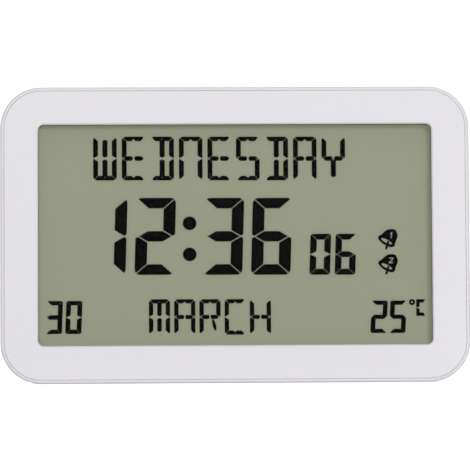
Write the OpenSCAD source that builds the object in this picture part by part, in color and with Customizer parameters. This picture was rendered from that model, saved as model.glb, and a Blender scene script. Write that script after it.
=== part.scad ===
// Large-display day clock: weekday, time, date and temperature on one wide
// liquid-crystal panel, in a two-piece moulded case with a folding stand.
// Millimetres. X is the width, Z is up, Y is the depth with the front at -Y.
// The origin is at the middle of the case's underside.

/* [Case] */
// Width of the whole clock
case_w = 190; // [186:1:210]
// Height of the whole clock
case_h = 120; // [118:1:140]
// Depth from the front face to the back
case_depth = 25; // [25:0.5:32]
// Radius of the four corners as seen from the front
corner_r = 16.6; // [14:0.2:18]
// Radius of the rounded edge round the back
back_r = 4; // [3:0.25:5]
// Thickness of the moulded walls
wall = 2; // [1.8:0.1:2.4]
// Width of the cover's rim that shows round the front frame
rim_w = 1.45; // [1.2:0.05:1.8]
// How far the rim stands back from the front face
rim_set = 0.1; // [0.1:0.1:0.8]
// Parting gap between the rim and the front frame
seam = 0.08; // [0.05:0.01:0.3]

/* [Front frame] */
// Thickness of the front face
frame_t = 2.2; // [1.8:0.1:2.6]
// Width of the display window
window_w = 159.6; // [150:0.2:160]
// Height of the display window
window_h = 89.6; // [80:0.2:90]
// Corner radius of the display window
window_r = 2.4; // [1:0.2:4]
// Bevel round the window's front edge
bevel = 0.5; // [0.2:0.1:1]
// Rounding of the frame's outer front edge
frame_round = 0.3; // [0.3:0.1:1]
// Depth of the skirt that locates inside the cover
skirt_h = 4; // [2:0.5:5]

/* [Display] */
// How far the lens reaches behind the frame, each way
lens_lap = 2.5; // [1.5:0.1:2.5]
// Thickness of the clear lens
lens_t = 1.2; // [0.8:0.1:1.5]
// Thickness of the adhesive tape round the lens
tape_t = 0.2; // [0.1:0.05:0.3]
// Width of the display's front glass
glass_w = 166; // [165:0.5:166]
// Height of the display's front glass
glass_h = 101; // [98:0.5:101]
// Thickness of each display glass
glass_t = 1.1; // [0.7:0.1:1.1]
// Height of the contact ledge below the rear glass
ledge_h = 3.5; // [3:0.1:4]
// Thickness of the front polarising film
film_t = 0.2; // [0.1:0.05:0.3]
// Thickness of the rear reflecting film
reflector_t = 0.3; // [0.1:0.05:0.4]
// Thickness of the holder's back
holder_t = 0.9; // [0.7:0.1:1.2]

/* [Batteries] */
// Diameter of a cell
cell_d = 14.2; // [13.8:0.1:14.5]
// Length of a cell with its contact nub
cell_l = 50.5; // [49:0.1:50.5]
// Distance between the two cells' axes
cell_pitch = 15; // [15:0.1:16]
// Height of the lower cell's axis above the base
cell_z = 31.5; // [30.5:0.5:34]
// Room at each cell's flat end for its spring
spring_room = 4.5; // [4:0.1:6]
// Turns of each battery spring
spring_turns = 3.5; // [2.5:0.5:3.5]
// Thickness of the battery door
door_t = 1.6; // [1.2:0.1:1.8]

/* [Stand] */
// Width of the folding stand
stand_w = 50; // [36:1:50]
// Thickness of the folding stand
stand_t = 2.8; // [2.4:0.1:3.2]
// Height of the stand's pivot above the base
stand_z = 76; // [70:1:78]
// Length from the pivot to the foot
stand_l = 62; // [45:1:62]
// Length of the heel above the pivot
heel_l = 4.5; // [3.5:0.1:5]
// Angle at which the heel lands on its stop
stop_angle = 52; // [40:1:60]
// Radius of the stand's pivot pins
pin_r = 1.3; // [1.1:0.1:1.3]

/* [Keys] */
// Number of setting keys
key_n = 6;
// Distance between neighbouring keys
key_pitch = 20; // [18:0.5:20]
// Width of a key
key_w = 12; // [9:0.5:12]
// Height of a key
key_h = 6.5; // [5:0.5:8]
// Height of the row of keys above the base
key_z = 101; // [99:0.5:102]
// Travel of a key
key_travel = 0.6; // [0.3:0.1:0.6]

/* [Wall fixing] */
// Distance between the two keyholes
keyhole_span = 140; // [138:1:146]
// Height of the keyholes' round entries above the base
keyhole_z = 93; // [88:0.5:95]
// Radius of the round entry
keyhole_r = 4.25; // [3.5:0.05:4.5]
// Width of the keyhole's slot
slot_w = 4.4; // [3.6:0.1:5]
// Rise from the round entry to the slot's end
slot_rise = 8; // [7:0.5:9]

/* [Hidden] */
$fn = 64;

// Colours
case_white = [0.90, 0.895, 0.91];
board_green = [0.12, 0.36, 0.22];
steel = [0.75, 0.75, 0.76];

// Planes along Y, from the front to the back
front_y = -case_depth / 2;
back_y = case_depth / 2;
plate_y = front_y + frame_t;
inner_y = back_y - wall;
rim_y = front_y + rim_set;
lens_y = plate_y + tape_t;
lens_back = lens_y + lens_t;
film_gap = 0.2;
film_y = lens_back + film_gap;
glass_y = film_y + film_t;
rear_glass_y = glass_y + glass_t;
reflector_y = rear_glass_y + glass_t;
holder_y = reflector_y + reflector_t;
board_y = holder_y + holder_t;
board_t = 1.6;
board_back = board_y + board_t;

// Clearances
fit = 0.15;
door_gap = 0.25;
pin_fit = 0.05;
touch_gap = 0.1;
// How far one moulded form runs into another, and a cut runs past its face
weld = 0.5;
root = 0.2;
past = 1;

// Sections swept round the case: distance in from its outer face
frame_edge = rim_w + seam;
seat_w = 1;
skirt_in = frame_edge + seat_w + fit;
skirt_t = 1.2;
strip_w = 8;
mid_z = case_h / 2;
rim_round = 1.2;
shoulder_h = 2;
rib_t = 1.2;

// Case screws, through pillars in the cover into bosses on the frame
screw_r = 1.45;
screw_head_r = 2.8;
screw_head_h = 2;
counter_r = 3.2;
pillar_r = 4.4;
boss_r = 3;
screw_in = 7.3;
boss_l = 10.5;
head_depth = 6;
screw_depth = 6.5;
screw_tip = 0.5;
hole_gap = 0.2;
screw_x = case_w / 2 - screw_in;
split_y = front_y + boss_l;
head_seat_y = split_y + head_depth;

// Small screws that hold the holder and the boards
small_r = 0.9;
small_head_r = 1.8;
small_head_h = 1;
small_boss_r = 2.1;
small_post_r = 2.6;
small_bore = 5;
small_reach = 4;
small_web = 0.4;
holder_in = 13;
foot_out = 3.2;
holder_x = [holder_in - glass_w / 2, 0, glass_w / 2 - holder_in];
foot_z = (case_h - glass_h) / 2 - foot_out;

// Display outline
lens_w = window_w + 2 * lens_lap;
lens_h = window_h + 2 * lens_lap;
film_in = 1;
film_w = glass_w - 2 * film_in;
film_h = glass_h - 2 * ledge_h;
glass_z = mid_z - glass_h / 2;
film_z = glass_z + glass_h - film_in - film_h / 2;
tape_in = 0.2;
tape_out = 0.5;
strip_h = 2.2;
strip_in = 5;
holder_lip = 0.8;
web_h = 3;
rail_w = 16;
rail_h = 26;
rail_up = 4;

// Battery bay and door
cell_r = cell_d / 2;
cell_room = 0.25;
bay_r = cell_r + cell_room;
bay_wall = 1.4;
bay_floor = 1.2;
stand_to_bay = 5;
plate_t = 0.4;
plate_half = 5.4;
dimple_h = 0.8;
bay_l = cell_l + spring_room + dimple_h + 2 * plate_t;
bay_x = stand_w / 2 + stand_to_bay;
door_y = back_y - door_t;
cell_y = door_y - door_gap - cell_r;
cell_zs = [cell_z, cell_z + cell_pitch];
bay_z0 = cell_z - bay_r;
bay_z1 = cell_z + cell_pitch + bay_r;
bay_floor_y = cell_y - bay_r - bay_floor;
door_lap = 1.2;
door_z = bay_z0 - door_lap;
door_h = bay_z1 - bay_z0 + 2 * door_lap;
hook_gap = 0.3;
hook_t = 1.2;
hook_room = 0.25;
hook_side = 0.4;
hook_r0 = wall + hook_gap;
hook_r1 = hook_r0 + hook_t;
hook_w = 6;
hook_in = 10;
hook_x = [bay_x + hook_in, bay_x + bay_l - hook_in];
grip_w = 0.8;
grip_l = 8;
grip_depth = 0.5;
grip_down = 2.2;
tab_half = 6;
tab_down = 3;

// The side screws stand just above the battery bay
pillar_gap = 0.35;
side_screw_z = bay_z1 + bay_wall + pillar_gap + pillar_r;
screw_rows = [corner_r, side_screw_z, case_h - corner_r];
screw_spots = [for (z = screw_rows) for (side = [-1, 1]) [side * screw_x, z]];

// Stand and its well
stand_gap = 0.3;
stand_in = 0.2;
stand_under = 0.6;
foot_round = 5;
foot_gap = 0.4;
heel_gap = 0.5;
stand_y0 = back_y - stand_in - stand_t;
pivot_y = stand_y0 + stand_t / 2;
well_y = stand_y0 - stand_under;
heel_y = pivot_y - (stand_t / 2 * cos(stop_angle) + heel_l * sin(stop_angle));
well_wall = 1.6;
socket_wall = 3.4;
socket_h = 4.2;
heel_room = 2.6;
pin_l = 2.2;
well_w = stand_w + 2 * stand_gap;
well_z0 = stand_z - stand_l - foot_gap;
well_z1 = stand_z + heel_l + heel_gap;
notch_w = 22;
notch_h = 6.5;
notch_r = 2;
notch_lap = 4;

// Keys, from the cap down to the switch
panel_depth = 0.8;
panel_in = 2.5;
panel_y = back_y - panel_depth;
key_in = 0.2;
key_y = back_y - key_in;
key_gap = 0.2;
key_edge = 0.4;
key_round = 1.5;
stem_r = 2;
stem_l = 1.6;
flange_lap = 0.8;
flange_t = 0.8;
flange_y = inner_y - touch_gap - flange_t;
plunger_top = flange_y - stem_l;
switch_h = 3;
switch_top = plunger_top - key_travel;
switch_y = switch_top - switch_h;
key_board_y = switch_y - board_t;
switch_w = 6;
plunger_r = 1.7;
plunger_in = 1.2;
plunger_l = plunger_in + key_travel;
key_board_in = 7;
key_row = (key_n - 1) * key_pitch;
key_board_w = key_row + switch_w + 2 * key_board_in;
key_board_h = 12;
key_xs = [for (i = [0:key_n - 1]) i * key_pitch - key_row / 2];
key_post_x = [-2 * key_pitch, 2 * key_pitch];

// Keyhole pockets
pocket_depth = 5.8;
pocket_wall = 1.2;
pocket_side = 1.4;
pocket_end = 0.8;

// Buzzer behind its grille
buzzer_in = 35;
buzzer_x = buzzer_in - case_w / 2;
buzzer_z = 45;
buzzer_r = 13.5;
buzzer_wall = 1.3;
buzzer_seat = 1.2;
buzzer_h = 4;
buzzer_step = 2.2;
disc_t = 0.3;
ceramic_t = 0.2;
grille_r = 0.9;
grille_pitch = 3.2;

// Main board and what stands on it, from its left end, foot and top edge
board_in = 1;
board_foot = 1.8;
board_gap = 2.4;
board_side = 6;
board_end = glass_w / 2 - board_in;
board_low = foot_z - board_foot;
chip_in = 52;
chip_down = 20;
chip_r = 7;
chip_h = 0.8;
crystal_in = 74;
can_r = 1.5;
can_l = 8;
lead_w = 0.5;
lead_l = 2.5;
drum_in = 20;
drum_down = 26;
drum_r = 2.5;
drum_h = 5;
bead_in = 8;
bead_up = 7.5;
bead_r = 1.2;
bead_lead = 3;
bead_wire = 0.3;

// Flat shape in X and Z carried from y0 to y1
module depth(y0, y1) {
    translate([0, y1, 0]) rotate([90, 0, 0]) linear_extrude(y1 - y0) children();
}

// Flat shape in Y and Z carried from x0 to x1
module across(x0, x1) {
    translate([x0, 0, 0]) rotate([90, 0, 90]) linear_extrude(x1 - x0) children();
}

// Rectangle with round corners, centred
module rounded(w, h, r) {
    square([w - 2 * r, h], center = true);
    square([w, h - 2 * r], center = true);
    for (x = [-1, 1]) for (z = [-1, 1])
        translate([x * (w / 2 - r), z * (h / 2 - r)]) circle(r);
}

// Rectangle with round corners, given by its edges
module panel(x0, x1, z0, z1, r) {
    translate([(x0 + x1) / 2, (z0 + z1) / 2]) rounded(x1 - x0, z1 - z0, r);
}

// Section swept round a rounded rectangle; its x runs inward, its y along Y
module around(w, h, r) {
    for (side = [[0, w, h], [-90, h, w], [180, w, h], [90, h, w]])
        rotate([0, side[0], 0])
            translate([side[1] / 2, 0, r - side[2] / 2])
                linear_extrude(side[2] - 2 * r) mirror([1, 0]) children();
    for (turn = [[0, 1, -1], [90, -1, -1], [180, -1, 1], [270, 1, 1]])
        translate([turn[1] * (w / 2 - r), 0, turn[2] * (h / 2 - r)])
            rotate([0, turn[0], 0]) rotate([-90, 0, 0])
                rotate_extrude(angle = 90) translate([r, 0]) mirror([1, 0]) children();
}

// Section swept round the outline of the whole case
module round_case() {
    translate([0, 0, mid_z]) around(case_w, case_h, corner_r) children();
}

// Rectangle in a section, from corner to corner
module strip(u0, u1, v0, v1) {
    translate([u0, v0]) square([u1 - u0, v1 - v0]);
}

// ---- Front frame ----

module frame_section() {
    strip(frame_edge + frame_round, strip_w, front_y, plate_y);
    strip(frame_edge, frame_edge + 2 * frame_round, front_y + frame_round, plate_y);
    translate([frame_edge + frame_round, front_y + frame_round]) circle(frame_round);
    strip(skirt_in, skirt_in + skirt_t, plate_y - root, plate_y + skirt_h);
}

module bevel_section() {
    polygon([[0, front_y], [bevel, front_y], [bevel, front_y + bevel]]);
}

module lens_rib() {
    depth(plate_y - root, lens_back) translate([0, mid_z]) difference() {
        rounded(lens_w + 2 * (fit + rib_t), lens_h + 2 * (fit + rib_t), 2);
        rounded(lens_w + 2 * fit, lens_h + 2 * fit, 1);
    }
}

module frame_posts() {
    for (spot = screw_spots)
        depth(plate_y - root, split_y) translate(spot) circle(boss_r);
    for (x = holder_x) for (z = [foot_z, case_h - foot_z])
        depth(plate_y - root, holder_y) translate([x, z]) circle(small_boss_r);
}

module frame_pilots() {
    for (spot = screw_spots)
        depth(split_y - screw_depth, split_y + past)
            translate(spot) circle(screw_r + pin_fit);
    for (x = holder_x) for (z = [foot_z, case_h - foot_z])
        depth(plate_y + small_web, holder_y + past) translate([x, z]) circle(small_r + pin_fit);
}

module front_frame() {
    color(case_white) difference() {
        union() {
            round_case() frame_section();
            depth(front_y, plate_y) translate([0, mid_z])
                rounded(case_w - 2 * strip_w, case_h - 2 * strip_w, corner_r - strip_w);
            lens_rib();
            frame_posts();
        }
        depth(front_y - past, plate_y + past) translate([0, mid_z])
            rounded(window_w, window_h, window_r);
        translate([0, 0, mid_z])
            around(window_w + 2 * bevel, window_h + 2 * bevel, window_r + bevel)
                bevel_section();
        frame_pilots();
    }
}

// ---- Rear cover ----

module cover_section() {
    strip(rim_round, rim_w, rim_y, plate_y);
    strip(0, rim_w, rim_y + rim_round, plate_y);
    translate([rim_round, rim_y + rim_round]) intersection() {
        circle(rim_round);
        strip(-rim_round, 0, -rim_round, 0);
    }
    strip(0, frame_edge + seat_w, plate_y, plate_y + shoulder_h);
    strip(0, wall, plate_y, back_y - back_r);
    translate([back_r, back_y - back_r]) intersection() {
        difference() {
            circle(back_r);
            circle(back_r - wall);
        }
        strip(-back_r, 0, 0, back_r);
    }
    strip(back_r, strip_w, inner_y, back_y);
}

// Outside of the stand's well, with the sockets' thick cheeks
module stand_well() {
    depth(well_y - well_wall, back_y - weld)
        panel(-well_w / 2 - well_wall, well_w / 2 + well_wall,
            well_z0 - well_wall, well_z1 + well_wall, 3);
    depth(heel_y - well_wall, back_y - weld)
        panel(-well_w / 2 - socket_wall, well_w / 2 + socket_wall,
            stand_z - socket_h, well_z1 + well_wall, 1.5);
    depth(well_y - well_wall, back_y - weld)
        panel(-notch_w / 2 - well_wall, notch_w / 2 + well_wall,
            well_z0 - notch_h - well_wall, well_z0 + notch_lap, notch_r + well_wall);
}

module stand_space() {
    depth(well_y, back_y + past) {
        panel(-well_w / 2, well_w / 2, well_z0, stand_z, foot_round + stand_gap);
        panel(-well_w / 2, well_w / 2, well_z0 + 3 * foot_round, well_z1, 1.5);
    }
    depth(heel_y, back_y + past)
        panel(-well_w / 2, well_w / 2, stand_z - heel_room, well_z1, 0.8);
    depth(well_y, back_y + past)
        panel(-notch_w / 2, notch_w / 2, well_z0 - notch_h, well_z0 + notch_lap, notch_r);
    across(-well_w / 2 - pin_l, well_w / 2 + pin_l)
        translate([pivot_y, stand_z]) circle(pin_r + pin_fit);
}

module battery_well() {
    depth(bay_floor_y, back_y - weld)
        panel(bay_x - bay_wall, bay_x + bay_l + bay_wall,
            bay_z0 - bay_wall, bay_z1 + bay_wall, 1);
}

module battery_space() {
    for (z = cell_zs)
        across(bay_x, bay_x + bay_l) translate([cell_y, z]) circle(bay_r);
    depth(cell_y, back_y + past)
        translate([bay_x, bay_z0]) square([bay_l, bay_z1 - bay_z0]);
    across(bay_x + bay_l - plate_t, bay_x + bay_l)
        plate_outline(cell_zs[0], cell_zs[1], touch_gap);
    depth(door_y, back_y + past)
        panel(bay_x - door_lap - door_gap, bay_x + bay_l + door_lap + door_gap,
            door_z - door_gap, door_z + door_h + door_gap, 1);
    for (x = hook_x) hook_space(x);
}

// Room in the bay's lower wall for a door hook to turn
module hook_space(x) {
    room = hook_r1 + hook_room;
    across(x - hook_w / 2 - hook_side, x + hook_w / 2 + hook_side)
        translate([back_y, door_z])
        intersection() {
            circle(room);
            union() {
                strip(-room, -wall, -room, room);
                strip(-room, touch_gap - door_t, -door_gap, room);
            }
        }
}

module keyhole_pockets() {
    for (side = [-1, 1])
        depth(back_y - pocket_depth - pocket_wall, back_y - weld)
            translate([side * keyhole_span / 2, keyhole_z + slot_rise / 2])
                rounded(2 * (keyhole_r + pocket_side + pocket_wall),
                    slot_rise + 2 * (keyhole_r + pocket_end + pocket_wall), 3);
}

module keyhole_spaces() {
    for (side = [-1, 1]) translate([side * keyhole_span / 2, 0, keyhole_z]) {
        depth(back_y - pocket_depth, inner_y) translate([0, slot_rise / 2])
            rounded(2 * (keyhole_r + pocket_side), slot_rise + 2 * (keyhole_r + pocket_end), 2);
        depth(inner_y - weld, back_y + past) circle(keyhole_r);
        depth(inner_y - weld, back_y + past) translate([0, slot_rise]) circle(slot_w / 2);
        depth(inner_y - weld, back_y + past)
            translate([-slot_w / 2, 0]) square([slot_w, slot_rise]);
    }
}

module pillars() {
    for (spot = screw_spots)
        depth(split_y, back_y - weld) translate(spot) circle(pillar_r);
    for (x = key_post_x)
        depth(switch_y, panel_y - root) translate([x, key_z]) circle(small_post_r);
}

module pillar_bores() {
    for (spot = screw_spots) {
        depth(split_y - past, back_y) translate(spot) circle(screw_r + hole_gap);
        depth(head_seat_y, back_y + past) translate(spot) circle(counter_r);
    }
    for (x = key_post_x)
        depth(switch_y - past, switch_y + small_bore)
            translate([x, key_z]) circle(small_r + pin_fit);
}

module key_windows() {
    depth(panel_y, back_y + past) translate([0, key_z])
        rounded(key_row + key_w + 2 * panel_in, key_h + 2 * panel_in, 3);
    for (x = key_xs) depth(inner_y - past, back_y) translate([x, key_z])
        rounded(key_w + 2 * key_gap, key_h + 2 * key_gap, key_round + key_gap);
}

module buzzer_ring() {
    depth(inner_y - buzzer_h, back_y - weld)
        translate([buzzer_x, buzzer_z]) circle(buzzer_r + buzzer_wall);
}

module buzzer_space() {
    depth(inner_y - buzzer_h - past, inner_y - buzzer_step)
        translate([buzzer_x, buzzer_z]) circle(buzzer_r + touch_gap);
    depth(inner_y - buzzer_h, inner_y)
        translate([buzzer_x, buzzer_z]) circle(buzzer_r - buzzer_seat);
    depth(inner_y - past, back_y + past) translate([buzzer_x, buzzer_z]) {
        circle(grille_r);
        for (ring = [1, 2]) for (i = [0:6 * ring - 1])
            rotate(i * 60 / ring) translate([ring * grille_pitch, 0]) circle(grille_r);
    }
}

module rear_cover() {
    color(case_white) difference() {
        union() {
            round_case() cover_section();
            depth(inner_y, back_y) translate([0, mid_z])
                rounded(case_w - 2 * strip_w, case_h - 2 * strip_w, corner_r - strip_w);
            stand_well();
            battery_well();
            keyhole_pockets();
            pillars();
            buzzer_ring();
        }
        stand_space();
        battery_space();
        keyhole_spaces();
        pillar_bores();
        key_windows();
        buzzer_space();
    }
}

// ---- Display, from the lens back ----

module display_lens() {
    color([0.85, 0.9, 0.92, 0.3]) depth(lens_y, lens_back)
        translate([0, mid_z]) rounded(lens_w, lens_h, 1);
}

module lens_tape() {
    color([0.15, 0.15, 0.16]) depth(plate_y, lens_y) translate([0, mid_z]) difference() {
        rounded(lens_w - 2 * tape_in, lens_h - 2 * tape_in, 1);
        rounded(window_w + 2 * tape_out, window_h + 2 * tape_out, 1);
    }
}

module front_polariser() {
    color([0.5, 0.52, 0.45, 0.4]) depth(film_y, glass_y)
        translate([0, film_z]) square([film_w, film_h], true);
}

module front_glass() {
    color([0.75, 0.8, 0.78, 0.4]) depth(glass_y, rear_glass_y)
        translate([0, mid_z]) square([glass_w, glass_h], true);
}

module rear_glass() {
    color([0.7, 0.75, 0.73, 0.4]) depth(rear_glass_y, reflector_y)
        translate([0, mid_z + ledge_h / 2]) square([glass_w, glass_h - ledge_h], true);
}

module reflector() {
    color([0.59, 0.6, 0.52]) depth(reflector_y, holder_y)
        translate([0, film_z]) square([film_w, film_h], true);
}

module lcd_holder() {
    lip_w = glass_w + 2 * fit;
    lip_h = glass_h + 2 * fit;
    color([0.8, 0.8, 0.78]) difference() {
        union() {
            depth(film_y, board_y) translate([0, mid_z])
                rounded(lip_w + 2 * holder_lip, lip_h + 2 * holder_lip, 1);
            for (x = holder_x) for (z = [foot_z, case_h - foot_z])
                depth(holder_y, board_y) translate([x, z]) circle(small_boss_r);
            for (x = holder_x) for (z = [foot_z, case_h - foot_z - web_h])
                depth(holder_y, board_y)
                    translate([x - small_boss_r, z]) square([2 * small_boss_r, web_h]);
        }
        depth(film_y - past, holder_y) translate([0, mid_z]) square([lip_w, lip_h], true);
        for (x = [-1, 1]) depth(holder_y - past, board_y + past)
            translate([x * glass_w / 4, mid_z + rail_up])
                rounded(glass_w / 2 - rail_w, glass_h - rail_h, 4);
        depth(holder_y - past, board_y + past) translate([0, glass_z + ledge_h / 2])
            square([glass_w - 2 * (strip_in - root), strip_h + 2 * touch_gap], true);
        for (x = holder_x) for (z = [foot_z, case_h - foot_z]) depth(holder_y - past,
            board_y + past) translate([x, z]) circle(small_r + pin_fit);
    }
}

module contact_strip() {
    color([0.85, 0.5, 0.55]) depth(rear_glass_y, board_y)
        translate([0, glass_z + ledge_h / 2]) square([glass_w - 2 * strip_in, strip_h], true);
}

// ---- Boards and what they carry ----

module main_board() {
    color(board_green) difference() {
        union() {
            depth(board_y, board_back)
                panel(-board_end, board_end, board_low, bay_z0 - board_gap, 1.5);
            depth(board_y, board_back)
                panel(-board_end, bay_x - board_side, board_low, mid_z, 1.5);
        }
        for (x = holder_x) depth(board_y - past, board_back + past)
            translate([x, foot_z]) circle(small_r + pin_fit);
    }
}

module driver_chip() {
    color([0.1, 0.1, 0.11]) translate([chip_in - board_end, 0, mid_z - chip_down]) {
        depth(board_back, board_back + chip_h) circle(chip_r);
        depth(board_back + chip_h, board_back + 1.75 * chip_h) circle(0.8 * chip_r);
    }
}

module quartz_crystal() {
    color(steel)
        translate([crystal_in - board_end, board_back + can_r, mid_z - chip_down]) {
            cylinder(r = can_r, h = can_l);
            for (x = [0, -1.6 * lead_w]) translate([x, -can_r, -lead_l])
                cube([lead_w, lead_w, lead_l]);
        }
}

module reservoir_capacitor() {
    color([0.12, 0.13, 0.3])
        translate([bay_x - drum_in, 0, mid_z - drum_down]) {
            depth(board_back, board_back + drum_h) circle(drum_r);
            depth(board_back + drum_h, board_back + 1.08 * drum_h) circle(0.84 * drum_r);
        }
}

module thermistor() {
    color([0.2, 0.45, 0.3])
        translate([bead_in - board_end, board_back, board_low + bead_up]) {
            translate([0, bead_r, 0]) sphere(bead_r);
            for (x = [-0.7, 0.4]) translate([x, 0, -bead_lead])
                cube([bead_wire, bead_wire, bead_lead - bead_r / 3]);
        }
}

module buzzer_disc() {
    color([0.8, 0.68, 0.35]) depth(inner_y - buzzer_step - disc_t, inner_y - buzzer_step)
        translate([buzzer_x, buzzer_z]) circle(buzzer_r);
}

module buzzer_ceramic() {
    color([0.9, 0.88, 0.84])
        depth(inner_y - buzzer_step - disc_t - ceramic_t, inner_y - buzzer_step - disc_t)
            translate([buzzer_x, buzzer_z]) circle(buzzer_r * 0.7);
}

module key_board() {
    color(board_green) depth(key_board_y, switch_y) difference() {
        translate([0, key_z]) rounded(key_board_w, key_board_h, 1.5);
        for (x = key_post_x) translate([x, key_z]) circle(small_r + pin_fit);
    }
}

module switch_base(i) {
    color([0.14, 0.14, 0.15]) difference() {
        depth(switch_y, switch_top) translate([key_xs[i], key_z])
            rounded(switch_w, switch_w, 0.6);
        depth(plunger_top - plunger_l - key_travel - root, switch_top + past)
            translate([key_xs[i], key_z]) circle(plunger_r + pin_fit);
    }
}

module plunger(i) {
    color([0.85, 0.84, 0.8]) depth(plunger_top - plunger_l, plunger_top)
        translate([key_xs[i], key_z]) circle(plunger_r);
}

module key(i) {
    color([0.82, 0.82, 0.84]) translate([key_xs[i], 0, key_z]) {
        depth(flange_y + flange_t, key_y - key_edge) rounded(key_w, key_h, key_round);
        depth(key_y - key_edge, key_y)
            rounded(key_w - 2 * key_edge, key_h - 2 * key_edge, key_round - key_edge);
        depth(flange_y, flange_y + flange_t)
            rounded(key_w + 2 * flange_lap, key_h + 2 * flange_lap, 1);
        depth(plunger_top, flange_y) circle(stem_r);
    }
}

// ---- Battery bay ----

// Sector of the door's hook, about the door's lower outer edge
module hook_shape() {
    intersection() {
        difference() {
            circle(hook_r1);
            circle(hook_r0);
        }
        strip(-hook_r1, -wall - touch_gap, -hook_r1, hook_t);
    }
    strip(hook_t / 2 - hook_r1, -door_t, 0, hook_t);
}

module battery_door() {
    lip = 1.2;
    color(case_white) difference() {
        union() {
            depth(door_y, back_y) panel(bay_x - door_lap, bay_x + bay_l + door_lap,
                door_z, door_z + door_h, 0.8);
            for (x = hook_x) across(x - hook_w / 2, x + hook_w / 2)
                translate([back_y, door_z]) hook_shape();
            for (x = hook_x) depth(door_y - 2, door_y)
                translate([x - 4, bay_z1 - 0.4 - lip]) square([8, lip]);
        }
        for (side = [-1, 1]) depth(door_y - past, back_y + past)
            translate([bay_x + bay_l / 2 + side * tab_half, door_z + door_h - tab_down])
                square([grip_w, grip_l], true);
        for (i = [0:2]) depth(back_y - grip_depth, back_y + past)
            translate([bay_x + bay_l / 2, door_z + door_h - grip_down - 2 * grip_w * i])
                square([grip_l, grip_w], true);
    }
}

// A cell along X with its nub at the high end
module cell() {
    nub_l = 1.3;
    body = cell_l - nub_l;
    rotate([0, 90, 0]) rotate_extrude() polygon([
        [0, 0.3], [cell_r - 2, 0.3], [cell_r - 2, 0], [cell_r - 0.5, 0], [cell_r, 0.5],
        [cell_r, body - 0.5], [cell_r - 0.5, body], [2.75, body], [2.75, cell_l - 0.3],
        [2.45, cell_l], [0, cell_l]
    ]);
}

cell_1_x = bay_x + plate_t + spring_room;
cell_2_x = bay_x + bay_l - plate_t - spring_room;

module battery_1() {
    color([0.2, 0.22, 0.24]) translate([cell_1_x, cell_y, cell_zs[0]]) cell();
}

module battery_2() {
    color([0.2, 0.22, 0.24]) translate([cell_2_x, cell_y, cell_zs[1]])
        mirror([1, 0, 0]) cell();
}

// Outline of a contact plate spread in Z over the given cells, widened by extra
module plate_outline(z0, z1, extra) {
    half = plate_half + extra;
    panel(cell_y - half, cell_y + half, z0 - half, z1 + half, 1);
}

// Contact plate on the wall at x
module contact_plate(x, z0, z1) {
    across(x, x + plate_t) plate_outline(z0, z1, 0);
}

module dimple(x, z, dir) {
    translate([x, cell_y, z]) rotate([0, dir * 90, 0])
        cylinder(r1 = 2.6, r2 = 1.8, h = dimple_h);
}

module contact_bridge() {
    right = bay_x + bay_l - plate_t;
    color(steel) {
        contact_plate(right, cell_zs[0], cell_zs[1]);
        dimple(right, cell_zs[0], -1);
    }
}

module contact_plus() {
    color(steel) {
        contact_plate(bay_x, cell_zs[1], cell_zs[1]);
        dimple(bay_x + plate_t, cell_zs[1], 1);
    }
}

module contact_minus() {
    color(steel) contact_plate(bay_x, cell_zs[0], cell_zs[0]);
}

// Conical battery spring: one unbroken wire whose ends run straight along X
wire_r = 0.3;
spring_r0 = 3.6;
spring_r1 = 2.4;
coil_steps = ceil(8 * spring_turns);
coil_rise = spring_room - 4 * wire_r;
function coil_angle(i) = 360 * spring_turns * i / coil_steps;
function coil_r(i) = spring_r0 + (spring_r1 - spring_r0) * i / coil_steps;
function coil_x(i) = 2 * wire_r + coil_rise * i / coil_steps;
function on_coil(x, i) =
    [x, coil_r(i) * cos(coil_angle(i)), coil_r(i) * sin(coil_angle(i))];
coil_path = concat(
    [on_coil(0, 0)],
    [for (i = [0:coil_steps]) on_coil(coil_x(i), i)],
    [on_coil(spring_room, coil_steps)]
);
coil_last = len(coil_path) - 1;
function unit(v) = v / norm(v);
function heading(k) = k == 0 || k == coil_last ? [1, 0, 0] :
    unit(unit(coil_path[k] - coil_path[k - 1]) + unit(coil_path[k + 1] - coil_path[k]));
function outward(k) = let (p = coil_path[k], q = [0, p[1], p[2]], h = heading(k))
    unit(q - (q * h) * h);
function wire_ring(k) = let (a = outward(k), b = cross(heading(k), a))
    [for (s = [0:5]) coil_path[k] + wire_r * (cos(60 * s) * a + sin(60 * s) * b)];
wire_points = [for (k = [0:coil_last]) each wire_ring(k)];
wire_faces = concat(
    [[for (s = [0:5]) s]],
    [for (k = [0:coil_last - 1]) for (s = [0:5]) each [
        [6 * k + s, 6 * k + 6 + s, 6 * k + 6 + (s + 1) % 6],
        [6 * k + s, 6 * k + 6 + (s + 1) % 6, 6 * k + (s + 1) % 6]
    ]],
    [[for (s = [5:-1:0]) 6 * coil_last + s]]
);
coil_gap = min([for (i = [1:coil_last - 7]) for (j = [i + 5:coil_last - 1])
    norm(coil_path[i] - coil_path[j])]) - 2 * wire_r;
echo(least_gap_between_turns = coil_gap);

module spring_wire() {
    polyhedron(wire_points, wire_faces);
}

module spring_1() {
    color(steel) translate([bay_x + plate_t, cell_y, cell_zs[0]]) spring_wire();
}

module spring_2() {
    color(steel) translate([bay_x + bay_l - plate_t, cell_y, cell_zs[1]])
        mirror([1, 0, 0]) spring_wire();
}

// ---- Folding stand ----

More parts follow.
